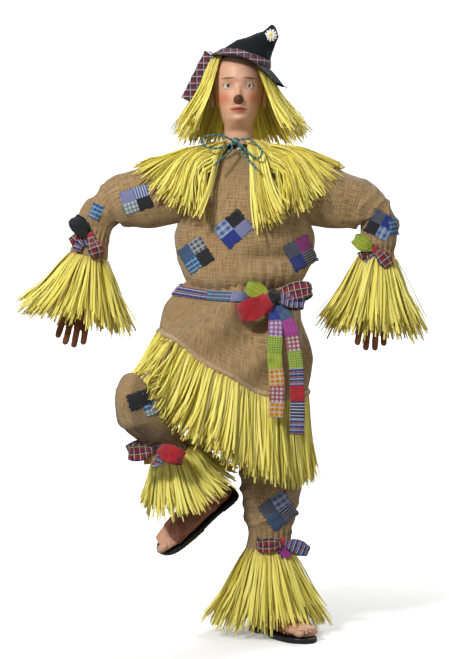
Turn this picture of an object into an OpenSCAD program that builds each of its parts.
// Life-size scarecrow display figure: a stake-mounted steel armature with pinned shoulders, elbows,
// wrists, neck and one knee, dressed in a burlap tunic and trousers with straw fringes, patches,
// tied bows, a felt hat, gloves and open-toed shoes. Millimetres, +Z up, front towards -Y.

/* [Armature] */
// Outside diameter of the stake tube in the standing leg
stake_tube_d = 33.7; // [32:0.1:36]
// Bore of the stake tube
stake_bore_d = 27.3; // [26:0.1:28]
// Depth from the sole to the bolt that stops the stake
stake_depth = 300; // [250:10:350]
// Diameter of the spine tube
spine_d = 42.4; // [38:0.2:45]
// Diameter of the neck post that the head turns on
neck_post_d = 24; // [20:1:28]
// Diameter of the arm, thigh and shin tubes
limb_tube_d = 27; // [22:1:30]
// Diameter of the pivot bolts
pivot_d = 12; // [10:1:14]
// Radial clearance of every turning fit
running_gap = 0.05; // [0.03:0.01:0.08]

/* [Figure] */
// Height of the hip bar
hip_height = 900; // [890:1:910]
// Height of the waist sash
waist_height = 1040; // [1030:1:1050]
// Height of the shoulder pivots
shoulder_height = 1359; // [1350:1:1370]
// Half of the distance between the shoulder pivots
shoulder_half = 177; // [170:1:185]
// Length of each upper arm between its pivots
arm_length = 255; // [250:1:262]
// Length of each forearm from elbow to wrist
forearm_length = 251; // [245:1:255]
// Drop of the right upper arm below level
right_arm_drop = 16; // [14:0.5:18]
// Drop of the left upper arm below level
left_arm_drop = 17; // [15:0.5:19]
// Lean of the right forearm outwards from plumb
right_forearm_lean = 12.5; // [11:0.5:14]
// Lean of the left forearm inwards from plumb
left_forearm_lean = 4.5; // [3:0.5:6]

/* [Clothes] */
// Thickness of the burlap as a stiff shell
cloth_t = 5; // [4:0.5:6]
// Thickness of a straw fringe
straw_t = 12; // [8:1:16]
// Thickness of a sewn-on patch
patch_t = 2; // [1.5:0.5:3]
// Thickness of the hat's felt
felt_t = 4; // [3:0.5:5]
// Diameter of the neck cord
neck_cord_d = 6; // [5:0.5:7]

/* [Hidden] */
$fn = 48;

burlap = "#a87e4c";
straw = "#f2dc3c";
felt = "#22262a";
steel = "#8d9296";
leather = "#7a4630";
suede = "#8a5a34";
skin = "#d9a887";
blue = "#4f6f9f";
red = "#b0303f";
lime = "#9fc24a";

up = [0, 0, 1];
back = [0, 1, 0];
spine_x = -80;
neck_x = -84;
bar_t = 40;
shoulder_bar_t = 30;
eye_t = 14;
cheek_t = 7;
cheek_gap = 0.4;
eye_r = 17;

right_shoulder = [spine_x - shoulder_half, 0, shoulder_height];
left_shoulder = [spine_x + shoulder_half, 0, shoulder_height];
right_arm_dir = [-cos(right_arm_drop), 0, -sin(right_arm_drop)];
left_arm_dir = [cos(left_arm_drop), 0, -sin(left_arm_drop)];
right_forearm_dir = [-sin(right_forearm_lean), 0, -cos(right_forearm_lean)];
left_forearm_dir = [-sin(left_forearm_lean), 0, -cos(left_forearm_lean)];
right_elbow = right_shoulder + arm_length * right_arm_dir;
left_elbow = left_shoulder + arm_length * left_arm_dir;
right_hip = [-175, 0, hip_height];
knee = [-385, -280, 700];
ankle = [-189, -10, 430];
thigh_dir = unit(knee - right_hip);
shin_dir = unit(ankle - knee);
knee_axis = unit(cross(thigh_dir, shin_dir));

function unit(v) = v / norm(v);
function mix(a, b, t) = a + (b - a) * t;
// Euler angles that turn +Z to z_dir and +Y to y_dir
function axis_angles(z_dir, y_dir) =
    let (x_dir = cross(y_dir, z_dir))
    [atan2(y_dir.z, z_dir.z), asin(-x_dir.z), atan2(x_dir.y, x_dir.x)];
// Oval ring about c, square to z_dir: ra across and rb along y_dir
function oval(c, z_dir, y_dir, ra, rb, n = 24) =
    let (z = unit(z_dir), y = unit(y_dir), x = cross(y, z))
    [for (i = [0:n - 1]) c + x * ra * cos(360 * i / n) + y * rb * sin(360 * i / n)];
// Level oval ring: r = [height, centre x, centre y, half width, half depth]
function level(r, grow = 0, n = 24) =
    oval([r[1], r[2], r[0]], up, back, r[3] + grow, r[4] + grow, n);
function spline(a, b, c, d, t) =
    b + (c - a) * t / 2 + (2 * a - 5 * b + 4 * c - d) * t * t / 2
    + (3 * b - a - 3 * c + d) * t * t * t / 2;
// Smooth closed curve of n points through the points p
function closed_curve(p, n) =
    let (k = len(p))
    [for (i = [0:n - 1])
        let (s = i * k / n, j = floor(s))
        spline(p[(j + k - 1) % k], p[j % k], p[(j + 1) % k], p[(j + 2) % k], s - j)];
// Smooth open curve through the points p with steps rings between two points
function open_curve(p, steps) =
    let (k = len(p) - 1)
    [for (i = [0:k * steps])
        let (s = i / steps, j = min(floor(s), k - 1))
        spline(p[max(j - 1, 0)], p[j], p[j + 1], p[min(j + 2, k)], s - j)];
function centre(ring) = [for (i = [0:2]) sum([for (p = ring) p[i]]) / len(ring)];
function sum(v, i = 0) = i < len(v) ? v[i] + sum(v, i + 1) : 0;
// The ring drawn in level by t towards its own centre
function drawn_in(ring, t) =
    let (c = centre(ring))
    [for (p = ring) let (d = [p.x - c.x, p.y - c.y, 0]) p - unit(d) * t];

module place(origin, z_dir, y_dir) {
    translate(origin)
    rotate(axis_angles(unit(z_dir), unit(y_dir)))
    children();
}

// Closed solid through rings listed along their own normal
module loft(rings) {
    n = len(rings[0]);
    m = len(rings);
    last = m * n;
    points = [for (r = rings) each r, centre(rings[0]), centre(rings[m - 1])];
    sides = [
        for (i = [0:m - 2], j = [0:n - 1])
        let (a = i * n + j, b = i * n + (j + 1) % n)
        each [[a, a + n, b + n], [a, b + n, b]]
    ];
    ends = [
        for (j = [0:n - 1])
        let (k = (j + 1) % n, top = (m - 1) * n)
        each [[last, j, k], [last + 1, top + k, top + j]]
    ];
    polyhedron(concat(points), concat(sides, ends));
}

// Sheet with thickness between two grids of points, open at the ends and, if not closed, at the sides
module sheet(outer, inner, closed = true) {
    rows = len(outer);
    cols = len(outer[0]);
    wrap = closed ? cols : cols - 1;
    half = rows * cols;
    points = [for (r = outer) each r, for (r = inner) each r];
    faces = [
        for (i = [0:rows - 2], j = [0:wrap - 1])
        let (a = i * cols + j, b = i * cols + (j + 1) % cols, c = a + cols, d = b + cols)
        each [[a, c, d], [a, d, b], [a + half, d + half, c + half], [a + half, b + half, d + half]]
    ];
    rims = [
        for (j = [0:wrap - 1])
        let (a = j, b = (j + 1) % cols, t = (rows - 1) * cols, c = a + t, d = b + t)
        each [[a, b, b + half], [a, b + half, a + half], [d, c, c + half], [d, c + half, d + half]]
    ];
    edges = closed ? [] : [
        for (i = [0:rows - 2])
        let (a = i * cols, b = a + cols, c = a + cols - 1, d = c + cols)
        each [[b, a, a + half], [b, a + half, b + half], [c, d, d + half], [c, d + half, c + half]]
    ];
    polyhedron(points, concat(faces, rims, edges));
}

// Round cord swept along a smooth route
module cord(route, d, steps, sides = 8) {
    path = open_curve(route, steps);
    k = len(path) - 1;
    rings = [
        for (i = [0:k])
        let (t = unit(path[min(i + 1, k)] - path[max(i - 1, 0)]))
        let (x = unit(cross(back, t)))
        oval(path[i], t, cross(t, x), d / 2, d / 2, sides)
    ];
    loft(rings);
}

// Tube along +Z
module tube(d, bore, length) {
    difference() {
        cylinder(d = d, h = length);
        translate([0, 0, -1]) cylinder(d = bore, h = length + 2);
    }
}

// Eye about the Y axis with its shank up to z = reach
module eye(reach) {
    difference() {
        union() {
            rotate([90, 0, 0]) cylinder(r = eye_r, h = eye_t, center = true);
            translate([-limb_tube_d / 2 + 3, -eye_t / 2, 0]) cube([limb_tube_d - 6, eye_t, reach]);
        }
        rotate([90, 0, 0]) cylinder(d = pivot_d + 2 * running_gap, h = eye_t + 2, center = true);
    }
}

// Fork about the Y axis that holds a pivot bolt, its root at z = -reach
module fork(reach) {
    inner = eye_t / 2 + cheek_gap;
    width = 2 * (inner + cheek_t);
    difference() {
        union() {
            rotate([90, 0, 0]) cylinder(r = eye_r, h = width, center = true);
            translate([-eye_r, -width / 2, -reach]) cube([2 * eye_r, width, reach]);
        }
        translate([-eye_r - 1, -inner, -eye_r - 6]) cube([2 * eye_r + 2, 2 * inner, 3 * eye_r]);
        rotate([90, 0, 0]) cylinder(d = pivot_d, h = width + 2, center = true);
    }
}

// Pivot bolt along the Y axis with its head and nut
module pivot_bolt() {
    side = eye_t / 2 + cheek_gap + cheek_t;
    rotate([90, 0, 0]) cylinder(d = pivot_d, h = 2 * side, center = true);
    translate([0, side + 8, 0]) rotate([90, 0, 0]) cylinder(r = 10, h = 8, $fn = 6);
    translate([0, -side, 0]) rotate([90, 0, 0]) cylinder(r = 10, h = 10, $fn = 6);
}

// Limb tube from an eye at the origin to z = length
module eye_tube(length) {
    eye(reach = 40);
    translate([0, 0, 40]) tube(d = limb_tube_d, bore = limb_tube_d - 5, length = length - 40);
}

/* ---- armature ---- */
stake_top = hip_height - bar_t / 2;
bar_top = hip_height + bar_t / 2;
spine_top = shoulder_height - shoulder_bar_t / 2;
neck_base = 1462;
neck_post_top = 1600;
fork_reach = 36;

module stake_tube() {
    color(steel) difference() {
        cylinder(d = stake_tube_d, h = stake_top);
        translate([0, 0, -1]) cylinder(d = stake_bore_d, h = stake_depth + 1);
        cylinder(d = stake_bore_d - 2, h = stake_top + 1);
        translate([0, 0, stake_depth + 4]) rotate([90, 0, 0]) cylinder(r = 4, h = 50, center = true);
    }
}

module stop_bolt() {
    color(steel) translate([0, 0, stake_depth + 4]) rotate([90, 0, 0])
    cylinder(r = 4, h = stake_tube_d + 4, center = true);
}

module hip_bar() {
    wall = 3;
    left_end = 25;
    right_end = right_hip.x - 25;
    color(steel) difference() {
        translate([right_end, -bar_t / 2, stake_top]) cube([left_end - right_end, bar_t, bar_t]);
        translate([right_end - 1, -bar_t / 2 + wall, stake_top + wall])
        cube([left_end - right_end + 2, bar_t - 2 * wall, bar_t - 2 * wall]);
    }
}

module spine_tube() {
    collar_h = 12;
    color(steel) {
        translate([spine_x, 0, bar_top])
        tube(d = spine_d, bore = spine_d - 6, length = spine_top - bar_top);
        translate([neck_x, 0, spine_top + shoulder_bar_t])
        cylinder(d = neck_post_d, h = neck_post_top - spine_top - shoulder_bar_t);
        translate([neck_x, 0, neck_base - collar_h]) cylinder(d = neck_post_d + 20, h = collar_h);
    }
}

module shoulder_bar() {
    half = shoulder_half - fork_reach;
    wall = 2.5;
    color(steel) {
        translate([spine_x, 0, shoulder_height]) difference() {
            cube([2 * half, shoulder_bar_t, shoulder_bar_t], center = true);
            cube([2 * half + 2, shoulder_bar_t - 2 * wall, shoulder_bar_t - 2 * wall], center = true);
        }
        place(right_shoulder, [-1, 0, 0], back) fork(fork_reach);
        place(left_shoulder, [1, 0, 0], back) fork(fork_reach);
    }
}

module shoulder_bolts() {
    color("silver") {
        translate(right_shoulder) pivot_bolt();
        translate(left_shoulder) pivot_bolt();
    }
}

module thigh_tube() {
    reach = norm(knee - right_hip) - fork_reach;
    start = 34;
    color(steel) {
        place(right_hip, thigh_dir, knee_axis)
        translate([0, 0, start])
        tube(d = limb_tube_d, bore = limb_tube_d - 5, length = reach - start);
        place(knee, thigh_dir, knee_axis) fork(fork_reach);
    }
}

module knee_bolt() {
    color("silver") place(knee, thigh_dir, knee_axis) pivot_bolt();
}

/* ---- torso and tunic ---- */
// Level rings: height, centre x, centre y, half width, half depth
torso_rings = [
    [1030, -70, 0, 152, 112],
    [1062, -70, -2, 176, 124],
    [1110, -68, -4, 208, 134],
    [1190, -70, -4, 222, 136],
    [1270, -74, -2, 196, 128],
    [1340, -78, 0, 176, 112],
    [1395, -82, 0, 150, 88],
    [1428, -84, 0, 98, 70],
    [1452, -84, 0, 62, 58]
];

module torso(grow = 0) {
    loft([for (r = torso_rings) level(r, grow)]);
}

module armature_space() {
    translate([spine_x, 0, 900]) cylinder(d = spine_d, h = spine_top - 900);
    translate([neck_x, 0, spine_top]) cylinder(d = neck_post_d + 20, h = 200);
    translate([spine_x, 0, shoulder_height])
    cube([2 * shoulder_half + 60, shoulder_bar_t, shoulder_bar_t + 4], center = true);
    for (side = [-1, 1])
    translate([spine_x + side * shoulder_half, 0, shoulder_height]) sphere(r = 62);
}

module torso_padding() {
    hips = [for (r = [[925, -85, 0, 140, 96], [1000, -72, 0, 140, 98]]) level(r)];
    color("#c9b377") difference() {
        loft(concat(hips, [for (r = torso_rings) level(r, -cloth_t)]));
        armature_space();
        translate([neck_x, 0, 1438]) cylinder(r = 80, h = 60);
    }
}

module tunic_body() {
    color(burlap) difference() {
        sheet([for (r = torso_rings) level(r)], [for (r = torso_rings) level(r, -cloth_t)]);
        for (side = [-1, 1])
        translate([spine_x + side * shoulder_half, 0, shoulder_height]) sphere(r = 62);
    }
}

// A square patch: a prism of half-diagonal or half-width size, seen from the front
module front_square(x, z, width, height, turn) {
    translate([x, -160, z]) rotate([90, turn, 0]) cube([width, height, 280], center = true);
}

module chest_patches() {
    color(blue) intersection() {
        difference() {
            torso(patch_t);
            torso();
        }
        union() {
            front_square(-104, 1206, 96, 78, 40);
            front_square(-216, 1130, 84, 84, 32);
            front_square(96, 1137, 84, 84, 28);
        }
    }
}

// Skirt of the tunic from the sash to the slanting hem, clockwise from the right-hand side
skirt_waist = [for (a = [0:7]) [-70 + 160 * cos(45 * a), -118 * sin(45 * a), waist_height]];
skirt_middle = [
    [112, 0, 930], [55, -112, 925], [-60, -140, 925], [-190, -140, 935],
    [-300, -50, 985], [-235, 70, 960], [-80, 130, 930], [55, 90, 925]
];
skirt_hem = [
    [122, 0, 735], [62, -130, 712], [-50, -172, 738], [-190, -192, 822],
    [-330, -110, 912], [-268, 66, 860], [-100, 146, 775], [52, 112, 742]
];
fringe_tips = [
    [140, 0, 545], [78, -150, 480], [-50, -205, 492], [-215, -290, 620],
    [-455, -215, 735], [-350, 95, 650], [-110, 175, 560], [62, 135, 510]
];
hem_points = 32;

module tunic_skirt() {
    rings = [for (p = [skirt_waist, skirt_middle, skirt_hem]) closed_curve(p, hem_points)];
    color(burlap) sheet(rings, [for (r = rings) drawn_in(r, cloth_t)]);
}

module hem_straw() {
    gap = 0.3;
    top = drawn_in(closed_curve(skirt_hem, hem_points), cloth_t + gap);
    start = [for (p = top) p + [0, 0, 40]];
    tips = closed_curve(fringe_tips, hem_points);
    middle = [for (i = [0:hem_points - 1]) mix(top[i], tips[i], 0.5) + (tips[i] - top[i]) * 0.02];
    rings = [start, top, middle, tips];
    color(straw) difference() {
        sheet(rings, [for (r = rings) drawn_in(r, straw_t)]);
        thigh_shape(straw_t + 8);
        translate(knee) sphere(r = 112);
    }
}

// The fringe where it lies over the raised thigh, from its front edge over the top to its back edge
module thigh_straw() {
    columns = 14;
    rows = [[0.42, 92, 3], [0.64, 86, 5], [0.86, 78, 14]];
    function row(r, grow) = [
        for (i = [0:columns])
        let (a = 62 + 236 * i / columns, x = cross(knee_axis, thigh_dir))
        mix(right_hip, knee, r[0]) + (x * cos(a) + knee_axis * sin(a)) * (r[1] + r[2] + grow)
    ];
    color(straw) sheet([for (r = rows) row(r, straw_t)], [for (r = rows) row(r, 0)], closed = false);
}

// Half of the straw cape: rows run from the neck to the tips, columns around from front to back
module collar_half(side) {
    columns = 12;
    front = side < 0 ? 96 : 84;
    turn = [for (i = [0:columns]) -front + side * (8 + 168 * i / columns)];
    rows = [[66, 64, 1470, 1470], [150, 128, 1428, 1360], [214, 152, 1392, 1240]];
    outer = [
        for (r = rows)
        [for (a = turn)
            let (flat = abs(cos(a)), z = mix(r[3], r[2], flat * flat))
            [neck_x + r[0] * cos(a), r[1] * sin(a), z]]
    ];
    inner = [for (r = outer) [for (p = r) p - [0, 0, straw_t]]];
    ordered = [for (r = outer) side < 0 ? r : [for (i = [columns:-1:0]) r[i]]];
    below = [for (r = inner) side < 0 ? r : [for (i = [columns:-1:0]) r[i]]];
    color(straw) sheet(ordered, below, closed = false);
}

module collar_straw_right() {
    collar_half(-1);
}

module collar_straw_left() {
    collar_half(1);
}

neck_knot_at = [-98, -86, 1468];
right_bow_route = [
    [-108, -86, 1472], [-134, -92, 1482], [-168, -98, 1484], [-194, -104, 1472], [-192, -110, 1454],
    [-164, -110, 1444], [-132, -102, 1450], [-110, -94, 1458], [-108, -102, 1446],
    [-124, -118, 1426], [-144, -134, 1408], [-162, -146, 1390]
];
left_bow_route = [
    [-88, -86, 1472], [-62, -94, 1474], [-36, -104, 1456], [-20, -116, 1430], [-30, -122, 1414],
    [-52, -116, 1424], [-72, -104, 1446], [-88, -95, 1460], [-84, -104, 1444],
    [-68, -122, 1418], [-50, -138, 1396], [-32, -152, 1376]
];

module neck_cord_right() {
    color("#4c7a50") cord(right_bow_route, neck_cord_d, 3);
}

module neck_cord_left() {
    color("#4c7a50") cord(left_bow_route, neck_cord_d, 3);
}

module neck_knot() {
    color("#4c7a50") translate(neck_knot_at) sphere(r = 11);
}

/* ---- sash and bows ---- */
module waist_sash() {
    rings = [for (z = [waist_height - 28, waist_height + 14]) [for (p = skirt_waist) [p.x, p.y, z]]];
    outer = [for (r = rings) drawn_in(closed_curve(r, hem_points), -10)];
    inner = [for (r = rings) drawn_in(closed_curve(r, hem_points), -4)];
    color(red) sheet([outer[1], outer[0]], [inner[1], inner[0]]);
}

// Ribbon loop in the XZ plane, pointing along +X from the origin
module ribbon_loop(length, height, width) {
    wall = 3;
    outline = [for (i = [0:19]) let (a = 18 * i)
        [length / 2 * (1 - cos(a)), height / 2 * sin(a) * (1 - 0.45 * cos(a))]];
    inside = [for (p = outline) [wall + p.x * (length - 2 * wall) / length, p.y * (1 - 2 * wall / height)]];
    rotate([90, 0, 0]) linear_extrude(width, center = true) difference() {
        polygon(outline);
        polygon(inside);
    }
}

// Flat tail hanging from the origin down the -Z axis
module ribbon_tail(length, width) {
    translate([-width / 2, -1.5, -length]) cube([width, 3, length]);
}

// Tied bow facing -Y: two loops, two tails and a knot
module bow(loop, height, width, tail, tail_w, colours) {
    color(colours[0]) rotate([0, 12, 0]) translate([7, 0, 0]) ribbon_loop(loop, height, width);
    color(colours[1]) rotate([0, 168, 0]) translate([7, 0, 0]) ribbon_loop(loop, height, width);
    color(colours[0]) rotate([0, -18, 0]) translate([0, 0, -9]) ribbon_tail(tail, tail_w);
    color(colours[1]) rotate([0, 18, 0]) translate([0, 4, -9]) ribbon_tail(tail, tail_w);
    color(felt) sphere(r = 13);
}

bow_at = [8, -154, 1000];

module waist_bow() {
    color(red) translate(bow_at) rotate([0, -14, 0]) translate([20, 0, 0]) ribbon_loop(98, 46, 36);
    color(red) translate(bow_at) rotate([0, 138, 0]) translate([20, 0, 0]) ribbon_loop(90, 58, 34);
    color(lime) translate(bow_at) rotate([0, 201, 0]) translate([20, 0, 0]) ribbon_loop(70, 26, 28);
    color(felt) translate(bow_at) rotate([90, 0, 0]) cylinder(r = 21, h = 32, center = true);
}

module sash_tails() {
    strip = 3;
    profile = [[-172, 982], [-176, 900], [-188, 740], [-224, 600]];
    function band(low) = concat(
        [for (p = profile) p[1] > low ? p : [p[0], low]],
        [for (i = [len(profile) - 1:-1:0])
            let (p = profile[i]) p[1] > low ? p + [strip, 0] : [p[0] + strip, low]]
    );
    for (tail = [[-8, 46, 655], [56, 42, 606]])
    color(lime) translate([tail[0], 0, 0]) rotate([90, 0, 90]) linear_extrude(tail[1])
    polygon(band(tail[2]));
}

/* ---- standing leg ---- */
left_leg_rings = [
    [245, 2, 0, 70, 66], [288, 4, 0, 62, 60], [330, 6, 0, 72, 70], [400, 8, 0, 84, 80],
    [480, 9, 0, 95, 88], [570, 6, 0, 98, 94], [720, 0, 0, 96, 96], [868, -6, 0, 90, 92]
];

module leg_shape(grow = 0) {
    loft([for (r = left_leg_rings) level(r, grow)]);
}

module left_trouser_leg() {
    color(burlap) difference() {
        leg_shape();
        translate([0, 0, 200]) cylinder(d = stake_tube_d, h = 700);
        translate([0, 0, stake_depth + 4]) rotate([90, 0, 0])
        cylinder(r = 5, h = stake_tube_d + 10, center = true);
    }
}

module left_leg_patches() {
    color(blue) intersection() {
        difference() {
            leg_shape(patch_t);
            leg_shape();
        }
        front_square(30, 372, 92, 92, 34);
    }
}

module left_ankle_bow() {
    translate([44, -92, 282]) rotate([0, 8, 0]) bow(66, 40, 24, 44, 24, [red, blue]);
}

// Hollow straw cone along +Z from its tied end
module straw_cone(r_top, r_tip, length) {
    color(straw) rotate_extrude() polygon([
        [r_top - straw_t, 0], [r_top, 0], [r_tip, length], [r_tip - straw_t, length]
    ]);
}

module left_ankle_straw() {
    translate([0, 0, 236]) rotate([180, 0, 0]) straw_cone(72, 148, 200);
}

/* ---- feet: +X points to the toes, +Z up, the ankle over the origin ---- */
sole_t = 15;
foot_rings = [
    [-60, 44, 20, 18], [-40, 52, 32, 36], [0, 60, 37, 44], [50, 54, 41, 38],
    [110, 42, 46, 26], [170, 34, 47, 18], [212, 30, 36, 13]
];

function foot_ring(r, grow) = oval([r[0], 0, r[1]], [1, 0, 0], up, r[2] + grow, r[3] + grow);

module foot_shape(grow = 0) {
    loft([for (r = foot_rings) foot_ring(r, grow)]);
}

module foot_form(bored) {
    color(skin) difference() {
        union() {
            foot_shape();
            translate([0, 0, 70]) cylinder(r1 = 38, r2 = 34, h = 62);
        }
        if (bored) cylinder(d = stake_tube_d, h = 160);
        else translate([0, 0, 60]) cylinder(d = limb_tube_d, h = 100);
        translate([-150, -100, -50]) cube([500, 200, 50 + sole_t]);
    }
}

module shoe_upper() {
    leather_t = 4;
    color(leather) difference() {
        foot_shape(leather_t);
        foot_shape();
        translate([0, 0, 60]) cylinder(r = 40, h = 100);
        translate([-150, -100, -50]) cube([500, 200, 50 + sole_t]);
        translate([158, -100, 0]) rotate([0, 12, 0]) cube([200, 200, 200]);
    }
}

module shoe_sole(bored) {
    heel = 12;
    outline = closed_curve([
        [-70, 0], [-56, -32], [20, -38], [110, -52], [190, -50], [232, -6], [196, 42], [110, 48],
        [20, 38], [-56, 32]
    ], 40);
    color("#17130f") difference() {
        union() {
            translate([0, 0, 4]) linear_extrude(sole_t - 4) polygon(outline);
            linear_extrude(heel) intersection() {
                polygon(outline);
                translate([-80, -60]) square([78, 120]);
            }
            linear_extrude(heel) intersection() {
                polygon(outline);
                translate([78, -60]) square([160, 120]);
            }
        }
        if (bored) translate([0, 0, -1]) cylinder(d = stake_tube_d, h = 40);
    }
}

module left_foot() {
    rotate([0, 0, -58]) children();
}

module right_foot() {
    toe_dir = unit([-0.78, 0, -0.63]);
    lift = unit(-shin_dir + toe_dir * (shin_dir * toe_dir));
    place(ankle - lift * 88, lift, cross(lift, toe_dir)) children();
}

module left_foot_form() {
    left_foot() foot_form(bored = true);
}

module left_shoe_upper() {
    left_foot() difference() {
        shoe_upper();
        cylinder(d = stake_tube_d, h = 160);
    }
}

module left_shoe_sole() {
    left_foot() shoe_sole(bored = true);
}

module right_foot_form() {
    right_foot() foot_form(bored = false);
}

module right_shoe_upper() {
    right_foot() shoe_upper();
}

module right_shoe_sole() {
    right_foot() shoe_sole(bored = false);
}

/* ---- raised leg ---- */
thigh_radii = [[0.26, 91], [0.4, 87], [0.55, 80], [0.69, 72]];
shin_length = norm(ankle - knee);
shin_radii = [[0.27, 60], [0.36, 56], [0.43, 51], [0.47, 50], [0.56, 60]];

module thigh_shape(grow = 0) {
    loft([
        for (r = thigh_radii)
        oval(mix(right_hip, knee, r[0]), thigh_dir, knee_axis, r[1] + grow, r[1] + grow)
    ]);
}

// Filled cover around a limb tube, from a to b
module limb_cover(a, b, dir, radii) {
    inside = limb_tube_d / 2 + 2;
    color(burlap) sheet(
        [for (r = radii) oval(mix(a, b, r[0]), dir, knee_axis, r[1], r[1])],
        [for (r = radii) oval(mix(a, b, r[0]), dir, knee_axis, inside, inside)]
    );
}

// Two rounded pads beside the knee joint, clear of the shin's swing
module knee_pads() {
    pad_r = 60;
    slot_w = limb_tube_d + 8;
    color(burlap) place(knee, thigh_dir, knee_axis) difference() {
        sphere(r = pad_r);
        cube([2 * pad_r + 2, slot_w, 2 * pad_r + 2], center = true);
        rotate([90, 0, 0]) cylinder(r = 11, h = 60, center = true);
    }
}

module right_thigh_cover() {
    limb_cover(right_hip, knee, thigh_dir, thigh_radii);
    knee_pads();
}

module right_knee_patches() {
    color(blue) intersection() {
        difference() {
            thigh_shape(patch_t);
            thigh_shape();
        }
        union() {
            front_square(-338, 738, 56, 44, 20);
            front_square(-318, 706, 52, 36, 20);
        }
    }
}

module right_shin_tube() {
    color(steel) place(knee, shin_dir, knee_axis) eye_tube(shin_length - 14);
}

module right_shin_cover() {
    limb_cover(knee, ankle, shin_dir, shin_radii);
}

module right_leg_bow() {
    translate([-325, -232, 572]) rotate([0, 6, -14]) bow(72, 44, 26, 46, 26, [red, blue]);
}

module right_leg_straw() {
    start = mix(knee, ankle, 0.57);
    color(straw) place(start, unit([0.34, 0.42, -0.84]), unit(cross([0.34, 0.42, -0.84], [1, 0, 0])))
    straw_cone(70, 124, 130);
}

/* ---- head and hat ---- */
// Level rings: height, centre x, centre y, half width, half depth
head_rings = [
    [1463, -84, 4, 52, 52], [1530, -85, 0, 50, 56], [1545, -86, -14, 54, 72],
    [1580, -88, -10, 66, 86], [1640, -89, -4, 75, 96], [1690, -88, 0, 74, 94],
    [1728, -86, 2, 60, 74], [1750, -85, 4, 30, 38]
];

module head_shell() {
    color(skin) difference() {
        loft([for (r = head_rings) level(r)]);
        translate([neck_x, 0, 1400]) cylinder(r = 18, h = 300);
    }
}

module head_sleeve() {
    color("silver") translate([neck_x, 0, neck_base + 0.3])
    difference() {
        cylinder(r = 18, h = 700 + 1000 - neck_base - 0.3);
        translate([0, 0, -1])
        cylinder(d = neck_post_d + 2 * running_gap, h = neck_post_top - neck_base + 6);
    }
}

// Rings of the soft hat, clockwise from the right: brim edge, fold, crown, tip
brim_edge = [
    [58, 0, 1634], [10, -128, 1650], [-84, -142, 1704], [-160, -100, 1722],
    [-190, 0, 1752], [-150, 95, 1735], [-80, 130, 1710], [20, 110, 1665]
];
brim_root = [
    [6, 0, 1692], [-18, -72, 1696], [-84, -102, 1716], [-144, -74, 1728],
    [-164, 0, 1738], [-144, 74, 1728], [-84, 102, 1716], [-18, 72, 1696]
];
crown_low = [
    [12, 0, 1745], [-8, -56, 1750], [-50, -80, 1762], [-84, -56, 1772],
    [-98, 0, 1776], [-84, 56, 1772], [-50, 80, 1762], [-8, 56, 1750]
];
crown_high = [
    [34, 0, 1790], [26, -28, 1793], [8, -40, 1798], [-8, -28, 1804],
    [-16, 0, 1806], [-8, 28, 1804], [8, 40, 1798], [26, 28, 1793]
];
hat_tip = [15, 0, 1833];
hat_points = 32;

function hat_rings() = [
    for (p = [[for (q = crown_high) mix(q, hat_tip, 0.8)], crown_high, crown_low, brim_root, brim_edge])
    closed_curve(p, hat_points)
];

module hat() {
    outer = hat_rings();
    shrunk = [drawn_in(outer[1], felt_t), drawn_in(outer[2], felt_t), drawn_in(outer[3], felt_t)];
    inner = [for (r = shrunk) [for (p = r) p - [0, 0, felt_t]]];
    color(felt) difference() {
        loft(outer);
        loft(concat(inner, [[for (p = outer[4]) p - [0, 0, felt_t]]],
                    [[for (p = outer[4]) p - [0, 0, 100]]]));
    }
}

module hat_band() {
    low = closed_curve(brim_root, hat_points);
    high = [for (i = [0:hat_points - 1]) mix(low[i], closed_curve(crown_low, hat_points)[i], 0.42)];
    outer = [for (r = [high, low]) drawn_in(r, -3.4)];
    inner = [for (r = [high, low]) drawn_in(r, -0.4)];
    color(red) {
        sheet(outer, inner);
        translate([-176, -14, 1738]) rotate([0, 28, 0]) ribbon_tail(150, 34);
    }
}

module hat_daisy() {
    color("white") translate([8, -46, 1786]) rotate([68, 0, 0]) {
        cylinder(r = 9, h = 7);
        for (a = [0:45:315]) rotate([0, 0, a]) translate([13, 0, 0]) cylinder(r = 5.5, h = 3);
    }
}

hair_right_rings = [
    [1516, -214, 0, 28, 52], [1570, -208, 2, 31, 60], [1640, -200, 4, 28, 58], [1700, -192, 8, 20, 46]
];
hair_left_rings = [
    [1512, 44, 0, 44, 56], [1570, 34, 2, 38, 62], [1630, 22, 4, 29, 58], [1676, 14, 6, 20, 48]
];

module hair_right() {
    color(straw) loft([for (r = hair_right_rings) level(r)]);
}

module hair_left() {
    color(straw) loft([for (r = hair_left_rings) level(r)]);
}

/* ---- arms ---- */
// Each ring: distance along the bone, drop below it, half height, half depth
upper_sleeve_rings = [[76, 24, 94, 82], [120, 24, 90, 80], [160, 20, 85, 76], [194, 16, 78, 70]];
right_lower_rings = [[58, 0, 60, 58], [92, 0, 48, 48], [108, 0, 46, 46], [140, 0, 54, 54], [182, 0, 60, 60]];
left_lower_rings = [[58, 0, 60, 58], [110, 0, 54, 54], [134, 0, 46, 46], [150, 0, 50, 50], [176, 0, 57, 57]];

function limb_rings(start, dir, rings, grow = 0) = [
    for (r = rings)
    oval(start + dir * r[0] - up * r[1], dir, back, r[2] + grow, r[3] + grow)
];

module arm_tube(shoulder, dir) {
    color(steel) {
        place(shoulder, dir, back) eye_tube(arm_length - fork_reach);
        place(shoulder + dir * arm_length, dir, back) {
            fork(fork_reach);
            pivot_bolt();
        }
    }
}

module upper_sleeve(shoulder, dir) {
    color(burlap) difference() {
        loft(limb_rings(shoulder, dir, upper_sleeve_rings));
        place(shoulder, dir, back) cylinder(d = limb_tube_d, h = 400);
    }
}

wrist_pin_d = 16;
wrist_pin_length = 60;

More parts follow.
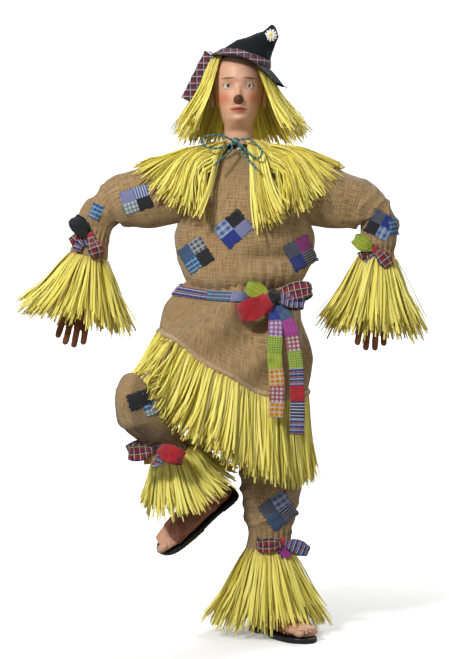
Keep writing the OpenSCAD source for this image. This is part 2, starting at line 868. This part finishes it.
module forearm_tube(elbow, dir) {
    color(steel) place(elbow, dir, back) {
        eye_tube(forearm_length - 6);
        translate([0, 0, forearm_length - 30]) cylinder(d = limb_tube_d - 5, h = 24);
        translate([0, 0, forearm_length - 6]) cylinder(d = wrist_pin_d, h = wrist_pin_length);
    }
}

module lower_sleeve(elbow, dir, rings) {
    color(burlap) difference() {
        loft(limb_rings(elbow, dir, rings));
        place(elbow, dir, back) cylinder(d = limb_tube_d, h = 400);
    }
}

// Stuffed glove: +Z along the fingers, the wrist at the origin, thumb towards +X
module glove() {
    palm = [[1, 30, 24], [30, 34, 25], [70, 44, 24], [104, 44, 20]];
    fingers = [[-34, 66, -5], [-12, 82, -1.5], [11, 84, 1.5], [33, 70, 5]];
    color(suede) difference() {
        union() {
            loft([for (r = palm) oval([0, 0, r[0]], up, back, r[1], r[2])]);
            for (f = fingers)
            translate([f[0], 0, 96]) rotate([0, f[2], 0]) {
                cylinder(r1 = 11, r2 = 9, h = f[1]);
                translate([0, 0, f[1]]) sphere(r = 9);
            }
            translate([34, 0, 40]) rotate([0, 30, 0]) {
                cylinder(r1 = 14, r2 = 10, h = 62);
                translate([0, 0, 62]) sphere(r = 10);
            }
        }
        translate([0, 0, -5]) cylinder(d = wrist_pin_d + 2 * running_gap, h = wrist_pin_length + 6);
    }
}

module hand(elbow, dir, side) {
    place(elbow + dir * forearm_length, dir, back * side) glove();
}

module right_arm_tube() {
    arm_tube(right_shoulder, right_arm_dir);
}

module right_upper_sleeve() {
    upper_sleeve(right_shoulder, right_arm_dir);
}

module right_arm_patches() {
    color(blue) intersection() {
        difference() {
            loft(limb_rings(right_shoulder, right_arm_dir, upper_sleeve_rings, patch_t));
            loft(limb_rings(right_shoulder, right_arm_dir, upper_sleeve_rings));
        }
        front_square(-392, 1296, 88, 72, 18);
    }
}

module right_forearm_tube() {
    forearm_tube(right_elbow, right_forearm_dir);
}

module right_lower_sleeve() {
    lower_sleeve(right_elbow, right_forearm_dir, right_lower_rings);
}

module right_wrist_bow() {
    place(right_elbow + right_forearm_dir * 100 + [-6, -62, 0], up, back)
    rotate([0, 58, 0]) bow(62, 40, 22, 58, 24, [red, felt]);
}

module right_cuff_straw() {
    place(right_elbow + right_forearm_dir * 184, right_forearm_dir, back) straw_cone(66, 156, 176);
}

module right_glove() {
    hand(right_elbow, right_forearm_dir, -1);
}

module left_arm_tube() {
    arm_tube(left_shoulder, left_arm_dir);
}

module left_upper_sleeve() {
    upper_sleeve(left_shoulder, left_arm_dir);
}

module left_forearm_tube() {
    forearm_tube(left_elbow, left_forearm_dir);
}

module left_lower_sleeve() {
    lower_sleeve(left_elbow, left_forearm_dir, left_lower_rings);
}

module left_wrist_bow() {
    place(left_elbow + left_forearm_dir * 134 + [-14, -62, 0], up, back)
    rotate([0, 40, 0]) bow(56, 38, 20, 46, 22, [red, lime]);
}

module left_cuff_straw() {
    place(left_elbow + left_forearm_dir * 178, left_forearm_dir, back) straw_cone(63, 138, 200);
}

module left_glove() {
    hand(left_elbow, left_forearm_dir, 1);
}

stake_tube();
stop_bolt();
hip_bar();
spine_tube();
shoulder_bar();
shoulder_bolts();
thigh_tube();
knee_bolt();
torso_padding();
tunic_body();
tunic_skirt();
hem_straw();
thigh_straw();
collar_straw_right();
collar_straw_left();
neck_cord_right();
neck_cord_left();
neck_knot();
chest_patches();
waist_sash();
waist_bow();
sash_tails();
left_trouser_leg();
left_leg_patches();
left_ankle_bow();
left_ankle_straw();
left_foot_form();
left_shoe_upper();
left_shoe_sole();
right_thigh_cover();
right_knee_patches();
right_shin_tube();
right_shin_cover();
right_leg_bow();
right_leg_straw();
right_foot_form();
right_shoe_upper();
right_shoe_sole();
head_sleeve();
head_shell();
hat();
hat_band();
hat_daisy();
hair_right();
hair_left();
right_arm_tube();
right_upper_sleeve();
right_arm_patches();
right_forearm_tube();
right_lower_sleeve();
right_wrist_bow();
right_cuff_straw();
right_glove();
left_arm_tube();
left_upper_sleeve();
left_forearm_tube();
left_lower_sleeve();
left_wrist_bow();
left_cuff_straw();
left_glove();
